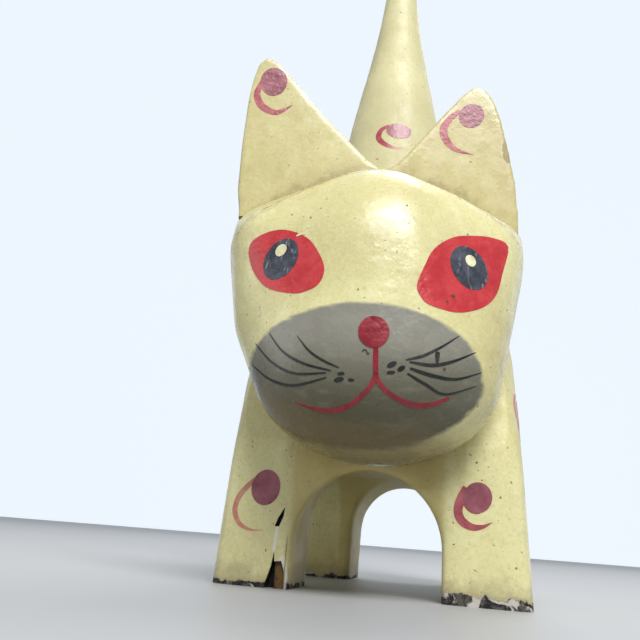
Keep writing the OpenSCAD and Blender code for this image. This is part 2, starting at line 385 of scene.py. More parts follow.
saw(carving, ((0, 0, leg_joint), straight_up, False), ((0, 0, 0), straight_up, True))
bpy.ops.object.mode_set(mode="EDIT")
bpy.ops.mesh.select_all(action="SELECT")
bpy.ops.mesh.separate(type="LOOSE")
bpy.ops.object.mode_set(mode="OBJECT")
legs = [o for o in bpy.context.selected_objects if o.type == "MESH"]
for leg in legs:
    middle = sum((v.co for v in leg.data.vertices), Vector()) / len(leg.data.vertices)
    place = ("front" if middle.y < 0.009 else "hind") + ("_right" if middle.x < 0 else "_left")
    leg.name = place + "_leg_block"
    take(leg)
    bpy.ops.object.shade_smooth_by_angle(angle=math.radians(50))
    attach(leg, "figure")
    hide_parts(place + "_leg")
    if place == "front_right":
        # A drying crack has opened up the front of this leg, and a flake is gone beside it
        for depth, outline in (
                (1.6, ((-17.3, 16.7), (-17.5, 14.6), (-18.3, 12.5), (-19.3, 12.5), (-18.7, 14.2))),
                (3.0, ((-18.9, 7.6), (-18.6, 4.6), (-18.5, -1), (-21.0, -1), (-20.2, 1.6), (-19.4, 4.2))),
                (1.0, ((-18.7, 5.4), (-17.2, 5.6), (-16.5, 3.6), (-16.3, -1), (-18.7, -1)))):
            cut(leg, board(outline, -0.040, 0.0065 + depth * 0.001))
    leg_coat, tree = mix_paint(place + "_leg_enamel")
    coat = add(tree, "ShaderNodeGroup", node_tree=cream).outputs
    spot = add(tree, "ShaderNodeTexCoord").outputs["Object"]
    axes = add(tree, "ShaderNodeSeparateXYZ", None, {"Vector": spot}).outputs
    chips = noise(tree, spot, 260, 4, 0.6)
    grain = noise(tree, spot, 700, 3)
    jag = 0.0062 if place == "front_left" else 0.0036
    # The coat is broken away round the sole, black where it has stood in the wet
    edge = times(tree, minus(tree, chips, 0.5), jag)
    height = minus(tree, axes["Z"], edge)
    band = {"front_left": 0.0018, "front_right": 0.0009}.get(place, 0.0007)
    worn = ramp(tree, height, band + 0.00015, band - 0.00010)
    rim = ramp(tree, height, band + 0.0012, band, 0, 0.40)
    gesso = noise(tree, spot, 330, 4, distortion=0.6)
    lost = blend(tree, ramp(tree, grain, 0.46, 0.62), (0.010, 0.009, 0.010, 1), (0.085, 0.075, 0.065, 1))
    pale = 0.60 if place == "front_left" else 0.66
    lost = blend(tree, ramp(tree, gesso, pale - 0.08, pale), lost, (0.50, 0.47, 0.42, 1))
    # The inner sides facing the openings get the same ochre of dirt and painted shade; the hind legs are painted
    # darker towards the soles as shade under the body
    inner = near(tree, axes["X"], 0, *opening_edge)
    dull_dirt_and_shade = times(tree, inner, 0.6)
    if middle.y > 0.009:
        dull_dirt_and_shade = sums(tree, "MAXIMUM", dull_dirt_and_shade, ramp(tree, axes["Z"], 0.021, 0.002, 0, 0.45))
    colour = blend(tree, dull_dirt_and_shade, coat["Color"], ochre_dirt_and_shade)
    colour = blend(tree, rim, colour, (0.34, 0.25, 0.13, 1))
    soil = minus(tree, axes["Z"], times(tree, chips, 0.009))
    colour = blend(tree, ramp(tree, soil, 0.0015, -0.0025, 0, 0.42), colour, (0.24, 0.20, 0.13, 1))
    colour = blend(tree, worn, colour, lost)
    if place == "front_right":
        # Inside the crack the wood is painted near black, as shade deep in the crack; the flake's bed is brown
        # with a gesso rim
        deep = ramp(tree, axes["Y"], -0.03335, -0.03310)
        ahead = ramp(tree, axes["Y"], -0.0280, -0.0290)
        beside = near(tree, axes["X"], -0.0187, 0.0025, 0.0023)
        opened = times(tree, times(tree, deep, ahead), beside)
        bed = ramp(tree, axes["X"], -0.01875, -0.01855)
        bed = times(tree, bed, ramp(tree, axes["Z"], 0.0080, 0.0070))
        inside = blend(tree, bed, (0.014, 0.009, 0.008, 1), (0.150, 0.082, 0.018, 1))
        inside = blend(tree, ramp(tree, grain, 0.42, 0.66, 0, 0.7), inside, (0.02, 0.014, 0.010, 1))
        flake = apart_from(tree, spot, (-0.0170, -0.0335, 0.0022), (0.0016, 0.01, 0.0052))
        gesso_rim = ramp(tree, plus(tree, flake, times(tree, chips, 0.5)), 1.10, 1.02, 0, 0.6)
        scratch = apart_from(tree, spot, (-0.0188, -0.0335, 0.0100), (0.00046, 0.01, 0.0030), 0.066)
        scratch = ramp(tree, plus(tree, scratch, times(tree, grain, 0.8)), 1.45, 1.25, 0, 0.85)
        colour = blend(tree, sums(tree, "MAXIMUM", gesso_rim, scratch), colour, (0.72, 0.69, 0.62, 1))
        colour = blend(tree, opened, colour, inside)
    relief = minus(tree, coat["Height"], times(tree, worn, 0.6))
    relief = plus(tree, relief, times(tree, times(tree, grain, worn), 0.8))
    rough = plus(tree, coat["Roughness"], times(tree, inner, 0.22))
    rough = plus(tree, rough, times(tree, worn, 0.35))
    lay_coat(leg_coat, [leg], colour, rough, relief, gleam=0.35)

# ---------------------------------------------------------------------------
# Dowels of the legs and the neck: bought beech rod, cut short, glued half in
# each block. Nothing of them shows once the cat is together.
# ---------------------------------------------------------------------------
def whittled(name, nodes, pale, dark, slant, roughness):
    """Gives round or square sticks their own wood, with the grain along the stick."""
    stick, tree = mix_paint(name)
    spot = add(tree, "ShaderNodeTexCoord").outputs["Object"]
    grain = add(tree, "ShaderNodeMapping", {"Scale": (1, 1, 0.12), "Rotation": (slant, 0, 0)},
                {"Vector": spot}).outputs["Vector"]
    timber = add(tree, "ShaderNodeGroup", None, {"Vector": grain}, node_tree=bare_wood)
    flecks = noise(tree, grain, 1500, 3)
    colour = blend(tree, 0.55, timber.outputs["Color"], blend(tree, flecks, dark, pale))
    rough = ramp(tree, flecks, 0.3, 0.7, roughness - 0.08, roughness + 0.08)
    lay_coat(stick, [], colour, rough, timber.outputs["Height"], 0.4, 0.0003)
    for node in nodes:
        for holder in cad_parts[node].material_slots:
            holder.material = stick


whittled("beech_rod", ["front_right_dowel", "front_left_dowel", "hind_right_dowel", "hind_left_dowel"],
         (0.62, 0.44, 0.27, 1), (0.44, 0.28, 0.15, 1), 0, 0.6)
whittled("beech_neck_rod", ["neck_right_dowel", "neck_left_dowel"],
         (0.62, 0.44, 0.27, 1), (0.44, 0.28, 0.15, 1), math.radians(68), 0.6)

# ---------------------------------------------------------------------------
# Head: one block with a domed forehead, full cheeks and a blunt muzzle, glued
# to the torso on a sloping joint and turned a little to the cat's left.
# ---------------------------------------------------------------------------
head_place = (0, -0.0355, 0)
head_turn = math.radians(10)
bpy.ops.object.select_all(action="DESELECT")
lumps = []
for at, radii in (((-0.5, 3, 71), (33.8, 20, 14)), ((-22.2, 3, 73.6), (12.3, 14.5, 11.2)),
                  ((20.8, 3, 74.2), (12.6, 14.5, 11.6)), ((-0.6, 1.5, 64.5), (25, 22.6, 29.8)),
                  ((-13, 2, 75.5), (12, 15.5, 14.4)), ((12, 2, 76), (12, 15.5, 14.6)),
                  ((-1.1, -1.5, 57), (30.2, 18, 20)), ((0.2, 12, 84.5), (35.8, 8, 10)),
                  ((0.6, -6, 44.5), (26, 17, 19)), ((0, 6, 44), (23, 18, 16)),
                  ((0, 14, 74), (32, 12, 14))):
    bpy.ops.mesh.primitive_uv_sphere_add(segments=64, ring_count=32, radius=1,
                                         location=[c * 0.001 for c in at],
                                         scale=[r * 0.001 for r in radii])
    lumps.append(bpy.context.object)
head = rough_out(lumps, "head_block")
rasp(head, 0.0007, 20)

# The rebate behind the forehead where the ears stand
bpy.ops.mesh.primitive_cube_add(size=1, location=(0, 0.046, 0.124), scale=(0.2, 0.08, 0.08))
cut(head, bpy.context.object)
# Two drilled holes under each ear for its bamboo pins
for across in (-21, -9, 9, 21):
    bpy.ops.mesh.primitive_cylinder_add(vertices=24, radius=0.0016, depth=0.016,
                                        location=(across * 0.001, 0.0113, 0.0815))
    cut(head, bpy.context.object)
head.location = head_place
head.rotation_euler = (0, 0, head_turn)
bpy.ops.object.transform_apply(location=True, rotation=True, scale=True)
saw(head, (neck_joint, neck_slope, True))
bpy.ops.object.shade_smooth_by_angle(angle=math.radians(50))
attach(head, "figure")
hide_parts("head")

head_coat, tree = mix_paint("head_enamel")
coat = add(tree, "ShaderNodeGroup", node_tree=cream).outputs
place = add(tree, "ShaderNodeTexCoord").outputs["Object"]
facing = add(tree, "ShaderNodeMapping", {"Location": head_place, "Rotation": (0, 0, head_turn)},
             {"Vector": place}, vector_type="TEXTURE").outputs["Vector"]
axes = add(tree, "ShaderNodeSeparateXYZ", None, {"Vector": facing}).outputs
# Grey muzzle: a brushed oval round nose and mouth, thin at its lower edge
across = sums(tree, "DIVIDE", plus(tree, axes["X"], 0.0026), 0.0238)
upward = sums(tree, "DIVIDE", minus(tree, axes["Z"], 0.0412), 0.0137)
narrow = plus(tree, times(tree, ramp(tree, upward, 0.0, -1.0), 0.16), 1.0)
across = times(tree, across, narrow)
oval = plus(tree, sums(tree, "POWER", sums(tree, "ABSOLUTE", across, 0), 2.2),
            sums(tree, "POWER", sums(tree, "ABSOLUTE", upward, 0), 2.2))
brushed = add(tree, "ShaderNodeMapping", {"Scale": (0.25, 1, 1), "Rotation": (0, 0.2, 0)}, {"Vector": facing})
bristles = noise(tree, brushed.outputs["Vector"], 620, 3)
oval = plus(tree, oval, times(tree, minus(tree, bristles, 0.5), 0.16))
muzzle = times(tree, ramp(tree, oval, 1.05, 0.91, 0, 0.93), ramp(tree, axes["Y"], 0.006, 0.002))
clouds = noise(tree, brushed.outputs["Vector"], 90, 4)
# The grey is painted darker towards its bottom edge, as shade under the muzzle
muzzle_painted_shade = ramp(tree, axes["Z"], 0.052, 0.033)
grey = blend(tree, muzzle_painted_shade, (0.200, 0.194, 0.174, 1), (0.043, 0.041, 0.019, 1))
grey = blend(tree, ramp(tree, clouds, 0.38, 0.70, 0, 0.28), grey, (0.23, 0.22, 0.19, 1))
grey = blend(tree, ramp(tree, bristles, 0.52, 0.72, 0, 0.18), grey, (0.32, 0.31, 0.25, 1))
colour = blend(tree, muzzle, coat["Color"], grey)
specks = add(tree, "ShaderNodeSeparateColor", None, {"Color": coat["Color"]})
dark = ramp(tree, specks.outputs[0], 0.20, 0.10)
colour = blend(tree, times(tree, dark, 0.9), colour, (0.04, 0.025, 0.012, 1))
# Old varnish and dust have run together under the chin, with painted shade there too
chin_dirt_and_shade = plus(tree, axes["Z"], times(tree, clouds, -0.014))
chin_dirt_and_shade = plus(tree, chin_dirt_and_shade, times(tree, axes["X"], 0.14))
chin_dirt_and_shade = ramp(tree, chin_dirt_and_shade, 0.0300, 0.0215, 0, 0.8)
colour = blend(tree, chin_dirt_and_shade, colour, (0.16, 0.115, 0.040, 1))
# Handling has browned the left cheek
cheek = times(tree, ramp(tree, axes["X"], 0.018, 0.029), ramp(tree, axes["Z"], 0.062, 0.046))
pattern = noise(tree, facing, 150, 5, 0.7)
cheek = times(tree, cheek, ramp(tree, pattern, 0.44, 0.62, 0, 0.5))
colour = blend(tree, cheek, colour, (0.40, 0.28, 0.12, 1))
# Dirt and a hair crack where forehead and ears meet
brow = times(tree, sums(tree, "POWER", sums(tree, "ABSOLUTE", axes["X"], 0), 2), 15.0)
brow = plus(tree, minus(tree, axes["Z"], 0.0905), brow)
brow = plus(tree, brow, times(tree, minus(tree, pattern, 0.5), 0.0035))
grit = noise(tree, facing, 620, 4, 0.7)
settled = times(tree, ramp(tree, brow, -0.0030, 0.0012), ramp(tree, grit, 0.46, 0.66, 0.05, 0.75))
settled = times(tree, settled, ramp(tree, brow, 0.0090, 0.0040, 0.12, 1.0))
colour = blend(tree, settled, colour, (0.26, 0.19, 0.075, 1))
crack = times(tree, ramp(tree, sums(tree, "ABSOLUTE", brow, 0), 0.00022, 0.00008),
              ramp(tree, pattern, 0.42, 0.52, 0, 0.75))
colour = blend(tree, crack, colour, (0.10, 0.065, 0.025, 1))
# Under the ears the rebate and the pin holes are bare wood
behind = ramp(tree, axes["Y"], 0.00575, 0.00590)
floor_face = times(tree, behind, ramp(tree, axes["Z"], 0.08370, 0.08390))
bore = near(tree, axes["Y"], 0.0113, 0.0018, 0.0017)
bore = times(tree, bore, near(tree, axes["X"], 0, 0.0235, 0.0230))
bore = times(tree, bore, ramp(tree, axes["Z"], 0.070, 0.072))
drawn = add(tree, "ShaderNodeMapping", {"Scale": (0.2, 1, 1)}, {"Vector": facing}).outputs["Vector"]
joint_wood = add(tree, "ShaderNodeGroup", None, {"Vector": drawn}, node_tree=bare_wood).outputs["Color"]
open_wood = sums(tree, "MAXIMUM", floor_face, bore)
colour = blend(tree, open_wood, colour, joint_wood)
rough = plus(tree, coat["Roughness"], times(tree, open_wood, 0.4))
lay_coat(head_coat, [head], colour, rough, coat["Height"])

# ---------------------------------------------------------------------------
# Ears: two wedges of the same softwood, thick at the seat and thin at the
# tip, standing behind the forehead on pins. The right one is taller.
# ---------------------------------------------------------------------------
ears = {}
ear_face = 0.0063
ear_joint = 0.0843
for name, side, chip_at, outline in (
        ("right", -1, (-0.036, -0.030, 0.050), (
            (0.3, 78), (34.3, 78), (34.5, 86), (35.5, 92), (35.7, 104), (35.4, 116), (34.8, 123), (33.6, 128.2),
            (31.5, 130.2), (28.7, 128.9), (24.4, 124.2), (16.5, 115.2), (8.0, 106.4), (3.4, 101.6), (0.5, 100.0))),
        ("left", 1, (0.0300, -0.0240, 0.1075), (
            (0.3, 78), (34.0, 78), (33.7, 90), (33.1, 98), (31.4, 107), (29.6, 115.5), (27.8, 121), (25.6, 124.3),
            (22.6, 125), (19.8, 122.4), (14, 115.2), (8.0, 107), (3.4, 101.2), (0.5, 99.6)))):
    ear = board([(side * x, z) for x, z in outline], ear_face, 0.010)
    ear.name = "ear_" + name + "_wedge"
    work(ear, "REMESH", mode="VOXEL", voxel_size=0.0007)
    # Thinned towards the tip from behind
    for v in ear.data.vertices:
        rise = min(max((v.co.z - 0.086) / 0.042, 0), 1)
        rim = min(max((abs(v.co.x) - 0.026) / 0.010, 0), 1)
        v.co.y = ear_face + (v.co.y - ear_face) * (1 - 0.58 * rise) * (1 - 0.35 * rim * rim)
    work(ear, "SMOOTH", factor=0.5, iterations=10)
    saw(ear, ((0, 0, ear_joint), straight_up, True))
    ear.location = head_place
    ear.rotation_euler = (0, 0, head_turn)
    bpy.ops.object.transform_apply(location=True, rotation=True, scale=True)
    bpy.ops.object.shade_smooth_by_angle(angle=math.radians(50))
    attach(ear, name + "_ear")
    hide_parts("ear_" + name)
    ear_coat, tree = mix_paint("ear_" + name + "_enamel")
    coat = add(tree, "ShaderNodeGroup", node_tree=cream).outputs
    spot = add(tree, "ShaderNodeTexCoord").outputs["Object"]
    # Bare wood where the outer edge of the left ear has been knocked
    apart = apart_from(tree, spot, chip_at, (0.0022, 0.0040, 0.0052))
    torn = times(tree, noise(tree, spot, 480, 3), 0.55)
    bare = ramp(tree, plus(tree, apart, torn), 1.14, 1.06)
    around = ramp(tree, plus(tree, apart, torn), 1.32, 1.22)
    fibres = add(tree, "ShaderNodeMapping", {"Scale": (1, 1, 0.1)}, {"Vector": spot})
    fibres = noise(tree, fibres.outputs["Vector"], 1600, 3)
    wood = blend(tree, fibres, (0.10, 0.060, 0.035, 1), (0.26, 0.16, 0.10, 1))
    colour = blend(tree, around, coat["Color"], (0.72, 0.68, 0.56, 1))
    colour = blend(tree, bare, colour, wood)
    # Dirt that has crept up from the joint behind the forehead, with painted shade in the crease there
    turned = add(tree, "ShaderNodeMapping", {"Location": head_place, "Rotation": (0, 0, head_turn)},
                 {"Vector": spot}, vector_type="TEXTURE")
    turned = add(tree, "ShaderNodeSeparateXYZ", None, {"Vector": turned.outputs["Vector"]}).outputs
    brow = times(tree, sums(tree, "POWER", sums(tree, "ABSOLUTE", turned["X"], 0), 2), 16.5)
    above = plus(tree, minus(tree, turned["Z"], 0.0985), brow)
    dirt = noise(tree, spot, 240, 6, 0.75)
    creep_dirt_and_shade = ramp(tree, plus(tree, above, times(tree, dirt, 0.016)), 0.0125, 0.0062)
    front = ramp(tree, turned["Y"], 0.0085, 0.0070)
    # Both ears are browned, the left one more: handling dirt, and painted shade dimming the left ear
    handled_dirt_and_shade = ramp(tree, dirt, 0.30, 0.70, 0.43 + side * 0.13, 0.70 + side * 0.10)
    colour = blend(tree, handled_dirt_and_shade, colour, (0.46, 0.38, 0.17, 1))
    colour = blend(tree, times(tree, times(tree, creep_dirt_and_shade, front), 0.62), colour, (0.21, 0.15, 0.06, 1))
    joint_wood = add(tree, "ShaderNodeGroup", None, {"Vector": spot}, node_tree=bare_wood).outputs["Color"]
    colour = blend(tree, ramp(tree, turned["Z"], ear_joint + 0.00020, ear_joint + 0.00005), colour, joint_wood)
    relief = minus(tree, coat["Height"], times(tree, bare, 0.7))
    rough = plus(tree, coat["Roughness"], times(tree, bare, 0.45))
    lay_coat(ear_coat, [ear], colour, rough, relief, 0.32)
    ears[name] = ear

# The ears' pins are split bamboo, whittled round and left dry, so the ears lift off
whittled("bamboo_pin", ["ear_right_pins", "ear_left_pins"],
         (0.72, 0.58, 0.32, 1), (0.52, 0.38, 0.17, 1), 0, 0.42)

# ---------------------------------------------------------------------------
# Tail: a tall cone with a trumpet flare, turned roughly round and pegged on
# the rump with a square peg.
# ---------------------------------------------------------------------------
bpy.ops.object.select_all(action="DESELECT")
bpy.ops.mesh.primitive_circle_add(vertices=72, radius=0.0223, fill_type="NGON",
                                  location=(tail_x, tail_y, 0.1043))
tail = bpy.context.object
tail.name = "tail_cone"
bpy.ops.object.transform_apply(location=True, rotation=True, scale=True)
bpy.ops.object.mode_set(mode="EDIT")
bpy.ops.mesh.select_all(action="SELECT")
radius = 22.3
height = 104.3
for next_height, next_radius in ((108, 21.6), (112, 20.9), (116, 20.1), (120, 19.4), (124, 18.9),
                                 (128, 18.3), (132, 17.8), (136, 17.3), (140, 16.7), (145, 16.0),
                                 (150, 15.2), (155, 14.3), (160, 13.3), (165, 12.4), (170, 11.3),
                                 (175, 10.4), (180, 9.5), (185, 8.6), (190, 7.8), (195, 7.1),
                                 (200, 6.5), (206, 5.8), (212, 5.2), (218, 4.7), (224, 4.2),
                                 (229, 3.9), (232, 3.3), (233.9, 2.4), (234.9, 1.2)):
    bpy.ops.mesh.extrude_region_move(
        TRANSFORM_OT_translate={"value": (0, 0, (next_height - height) * 0.001)})
    shrink = next_radius / radius
    bpy.ops.transform.resize(value=(shrink, shrink, 1),
                             center_override=(tail_x, tail_y, next_height * 0.001))
    radius = next_radius
    height = next_height
bpy.ops.object.mode_set(mode="OBJECT")
bpy.ops.object.shade_smooth_by_angle(angle=math.radians(50))
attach(tail, "tail")
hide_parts("tail")
tail_coat, tree = mix_paint("tail_enamel")
coat = add(tree, "ShaderNodeGroup", node_tree=cream).outputs
spot = add(tree, "ShaderNodeTexCoord").outputs["Object"]
axes = add(tree, "ShaderNodeSeparateXYZ", None, {"Vector": spot}).outputs
joint_wood = add(tree, "ShaderNodeGroup", None, {"Vector": spot}, node_tree=bare_wood).outputs["Color"]
under = ramp(tree, axes["Z"], 0.10455, 0.10440)
# The tail's cream is blended 42% toward a grey-brown, so the tail is darker than the rest
darkened_cream = blend(tree, 0.42, coat["Color"], (0.47, 0.43, 0.28, 1))
colour = blend(tree, under, darkened_cream, joint_wood)
rough = plus(tree, coat["Roughness"], ramp(tree, axes["Z"], 0.10455, 0.10440, 0.24, 0.5))
lay_coat(tail_coat, [tail], colour, rough, coat["Height"], gleam=0.35)

# The square peg is a split of the same softwood, pared to a push fit
whittled("softwood_peg", ["tail_peg"], (0.60, 0.45, 0.26, 1), (0.40, 0.27, 0.13, 1), 0, 0.62)

# ---------------------------------------------------------------------------
# Painted marks: thick drops and strokes of enamel laid over the cream with a
# fine brush and with the end of a stick. Each stands a hair proud of the wood.
# ---------------------------------------------------------------------------
def through(points, steps, closed=False):
    """A smooth run through the points, as a brush takes it."""
    count = len(points)
    spans = count if closed else count - 1
    run = []
    for k in range(steps + (0 if closed else 1)):
        t = k / steps * spans
        i = min(int(t), spans - 1)
        t -= i
        four = [points[(i + j) % count] if closed else points[min(max(i + j, 0), count - 1)]
                for j in (-1, 0, 1, 2)]
        run.append(tuple(0.5 * (2 * b + (c - a) * t + (2 * a - 5 * b + 4 * c - d) * t * t
                                + (3 * b - a - 3 * c + d) * t ** 3)
                         for a, b, c, d in zip(*four)))
    return run


def patch(points):
    """A filled shape whose edge runs through the points, in mm across and up."""
    edge = through(points, 48, closed=True)
    bpy.ops.mesh.primitive_circle_add(vertices=48, radius=0.001, fill_type="TRIFAN")
    made = bpy.context.object
    middle = [sum(p[k] for p in edge) / 48 for k in (0, 1)]
    for v in made.data.vertices:
        if v.co.length < 0.0005:
            x, z = middle
        else:
            x, z = edge[round(math.atan2(v.co.y, v.co.x) / math.tau * 48) % 48]
        v.co = (x * 0.001, 0, z * 0.001)
    bpy.ops.object.mode_set(mode="EDIT")
    bpy.ops.mesh.select_all(action="SELECT")
    bpy.ops.mesh.subdivide(number_cuts=5)
    bpy.ops.object.mode_set(mode="OBJECT")
    return made


def drop(x, z, wide, high, lean=0):
    """A round or oval drop: its middle, its half sizes and its lean in degrees."""
    c, n = math.cos(math.radians(lean)), math.sin(math.radians(lean))
    ring = [(wide * math.cos(a * math.pi / 6), high * math.sin(a * math.pi / 6)) for a in range(12)]
    return patch([(x + p * c + q * n, z - p * n + q * c) for p, q in ring])


def stroke(points, width, start=0.3, end=0.0, belly=0.4):
    """A brush stroke: widest at the belly, narrowing to the given shares at its ends."""
    run = through(points, 40)
    bpy.ops.mesh.primitive_grid_add(x_subdivisions=40, y_subdivisions=4, size=1)
    made = bpy.context.object
    for v in made.data.vertices:
        k = min(max(int(round((v.co.x + 0.5) * 40)), 0), 40)
        t = k / 40
        share = t / belly if t < belly else (1 - t) / (1 - belly)
        ease = math.sin(share * math.pi / 2)
        half = width * ((start if t < belly else end) * (1 - ease) + ease) / 2
        ahead, behind = run[min(k + 1, 40)], run[max(k - 1, 0)]
        dx, dz = ahead[0] - behind[0], ahead[1] - behind[1]
        length = math.hypot(dx, dz)
        side = v.co.y * 2 * max(half, 0.03)
        v.co = ((run[k][0] - dz / length * side) * 0.001, 0, (run[k][1] + dx / length * side) * 0.001)
    return made


def lay_on(name, pieces, where, paint, proud):
    """Lays flat shapes on the wood, seen from a painter who stands at a turn round the cat."""
    woods, body, origin, turn = where
    take(*pieces)
    if len(pieces) > 1:
        bpy.ops.object.join()
    film = bpy.context.object
    film.name = name
    spin = Matrix.Rotation(math.radians(turn), 3, "Z")
    away = spin @ Vector((0, 1, 0))
    for v in film.data.vertices:
        flat = spin @ v.co + Vector(origin)
        start = flat - away * 0.2
        struck = [block.ray_cast(start, away) for block in woods]
        struck = [(at - start).length for hit, at, normal, face in struck if hit]
        reach = start + away * min(struck) if struck else flat
        nearest = [block.closest_point_on_mesh(reach)[1:3] for block in woods]
        at, normal = min(nearest, key=lambda found: (found[0] - reach).length)
        v.co = at + normal * proud * 0.001
    bpy.ops.object.mode_set(mode="EDIT")
    bpy.ops.mesh.select_all(action="SELECT")
    bpy.ops.mesh.normals_make_consistent(inside=False)
    bpy.ops.object.mode_set(mode="OBJECT")
    facing = sum((p.normal * p.area for p in film.data.polygons), Vector())
    if facing.dot(away) > 0:
        film.data.flip_normals()
    work(film, "SOLIDIFY", thickness=(proud + 0.25) * 0.001, offset=-1)
    bpy.ops.object.shade_smooth_by_angle(angle=math.radians(50))
    film.data.materials.clear()
    film.data.materials.append(enamels[paint])
    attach(film, body)


enamels = {}
for name, deep, light, gloss in (
        ("eye_red", (0.45, 0.028, 0.034, 1), (0.54, 0.046, 0.052, 1), 0.22),
        ("pupil_slate", (0.030, 0.033, 0.044, 1), (0.070, 0.078, 0.100, 1), 0.24),
        ("glint_cream", (0.60, 0.58, 0.34, 1), (0.78, 0.76, 0.52, 1), 0.25),
        ("nose_crimson", (0.200, 0.010, 0.020, 1), (0.300, 0.020, 0.032, 1), 0.24),
        ("mouth_crimson", (0.19, 0.008, 0.016, 1), (0.32, 0.020, 0.030, 1), 0.24),
        ("dot_plum", (0.240, 0.068, 0.090, 1), (0.350, 0.112, 0.138, 1), 0.30),
        ("crescent_rose", (0.33, 0.062, 0.080, 1), (0.45, 0.125, 0.140, 1), 0.30),
        ("crescent_pale", (0.50, 0.200, 0.140, 1), (0.60, 0.330, 0.200, 1), 0.28),
        ("whisker_black", (0.008, 0.009, 0.007, 1), (0.022, 0.025, 0.019, 1), 0.32),
        ("speck_brown", (0.050, 0.018, 0.012, 1), (0.110, 0.050, 0.025, 1), 0.5)):
    paint, tree = mix_paint(name)
    spot = add(tree, "ShaderNodeTexCoord").outputs["Object"]
    flow = noise(tree, spot, 260, 5, 0.65)
    peel = noise(tree, spot, 900, 2)
    colour = blend(tree, ramp(tree, flow, 0.36, 0.66), deep, light)
    if name == "pupil_slate":
        # Pale grey streaks across the slate, a painted highlight of scratchy sheen
        pattern = add(tree, "ShaderNodeMapping", {"Rotation": (0, 0.5, 0), "Scale": (1, 1, 0.25)}, {"Vector": spot})
        pattern = noise(tree, pattern.outputs["Vector"], 1400, 3)
        colour = blend(tree, ramp(tree, pattern, 0.58, 0.70, 0, 0.55), colour, (0.33, 0.35, 0.38, 1))
    rough = ramp(tree, flow, 0.3, 0.7, gloss - 0.05, gloss + 0.10)
    lay_coat(paint, [], colour, rough, peel, 0.35, 0.0003)
    enamels[name] = paint

# The eyes: red drops with a corner outside, slate pupils and a touch of cream
face = ([head], "figure", head_place, 10)
lay_on("eyes_red", [
    patch([(-28.3, 70.5), (-25.1, 72.5), (-20.7, 72.7), (-15.7, 70.0), (-12.9, 66.0), (-11.5, 62.2),
           (-12.4, 59.0), (-14.7, 57.7), (-17.5, 57.4), (-22.6, 59.0), (-25.9, 62.3), (-28.0, 66.7)]),
    patch([(27.4, 73.9), (23.8, 74.9), (19.5, 74.2), (14.6, 72.4), (10.4, 68.5), (8.3, 63.9), (6.9, 59.6),
           (7.6, 57.3), (9.6, 55.6), (15.3, 55.2), (20.8, 57.6), (24.1, 61.4), (25.9, 67.3)])],
    face, "eye_red", 0.06)
lay_on("eye_pupils", [drop(-20.9, 65.7, 3.6, 4.8, 17), drop(18.0, 66.0, 4.1, 5.0, -19)], face, "pupil_slate", 0.11)
lay_on("eye_glints", [drop(-21.0, 67.7, 1.15, 1.45, 20), drop(18.3, 67.7, 1.15, 1.35, -10)],
       face, "glint_cream", 0.20)
lay_on("eye_specks", [drop(14.4, 58.6, 0.42, 0.36), drop(13.2, 57.0, 0.28, 0.26),
                      stroke([(-3.1, 44.8), (-2.7, 45.2), (-2.2, 44.9), (-2.3, 44.3)], 0.28, 0.6, 0.2),
                      drop(-1.9, 44.5, 0.22, 0.2), drop(12.7, 43.0, 0.26, 0.3)],
       face, "speck_brown", 0.09)
lay_on("eye_scratch", [stroke([(-18.0, 70.7), (-17.2, 71.0), (-16.1, 70.9)], 0.42, 0.4, 0.2)],
       face, "glint_cream", 0.12)
# Nose and mouth
lay_on("nose_dot", [drop(-1.1, 48.9, 2.95, 3.2)], face, "nose_crimson", 0.16)
lay_on("mouth_line", [
    stroke([(-0.6, 46.4), (-0.5, 44), (-0.4, 42), (-0.2, 39.8)], 1.0, 0.9, 0.9, 0.3),
    stroke([(-0.3, 41.0), (-0.8, 39.2), (-2.2, 37.1), (-5.2, 34.7), (-8.7, 33.9), (-12.4, 34.4), (-15.3, 35.5)],
           0.92, 0.8, 0.1, 0.45),
    stroke([(-0.3, 41.0), (0.2, 39.6), (1.6, 38.0), (4.4, 36.5), (7.7, 35.8), (11.0, 36.4), (13.9, 37.9)],
           1.0, 0.8, 0.45, 0.6)],
    face, "mouth_crimson", 0.09)
# Whiskers, each drawn with one pull of a fine brush, and the dots at their roots
lay_on("whiskers", [
    stroke([(-7.2, 41.6), (-10.3, 42.9), (-13.2, 44.9), (-15.8, 48.1)], 0.48, 0.5, 0.15, 0.45),
    stroke([(-8.7, 41.0), (-14.0, 42.4), (-18.4, 45.1), (-21.8, 49.5)], 0.48, 0.5, 0.15, 0.35),
    stroke([(-9.6, 40.6), (-15.6, 40.6), (-20.4, 43.1), (-24.6, 47.7)], 0.48, 0.5, 0.15, 0.35),
    stroke([(-9.5, 39.7), (-15.7, 38.4), (-20.8, 40.0), (-25.2, 43.8)], 0.52, 0.5, 0.15, 0.35),
    stroke([(5.2, 43.8), (8.5, 45.0), (12.2, 47.4), (15.7, 50.3)], 0.58, 0.4, 0.12, 0.35),
    stroke([(5.9, 43.5), (10.5, 43.4), (14.7, 44.9), (19.2, 47.6)], 0.70, 0.5, 0.1, 0.35),
    stroke([(6.0, 42.3), (10.6, 41.4), (15.3, 41.5), (20.5, 43.8)], 0.72, 0.6, 0.1, 0.25),
    stroke([(5.6, 41.3), (9.1, 39.7), (13.2, 38.4), (19.5, 41.0)], 0.60, 0.5, 0.1, 0.3),
    stroke([(11.3, 46.2), (11.2, 45.3), (11.2, 43.6)], 0.95, 0.6, 0.3, 0.35),
    drop(-7.1, 39.4, 0.95, 0.48, -12), drop(-6.8, 40.5, 0.7, 0.35, -5), drop(-4.8, 39.4, 0.6, 0.3, 5),
    drop(2.6, 42.7, 1.0, 0.5, -32), drop(4.4, 42.1, 0.85, 0.45, -35), drop(2.5, 41.2, 0.8, 0.35, -8)],
    face, "whisker_black", 0.06)
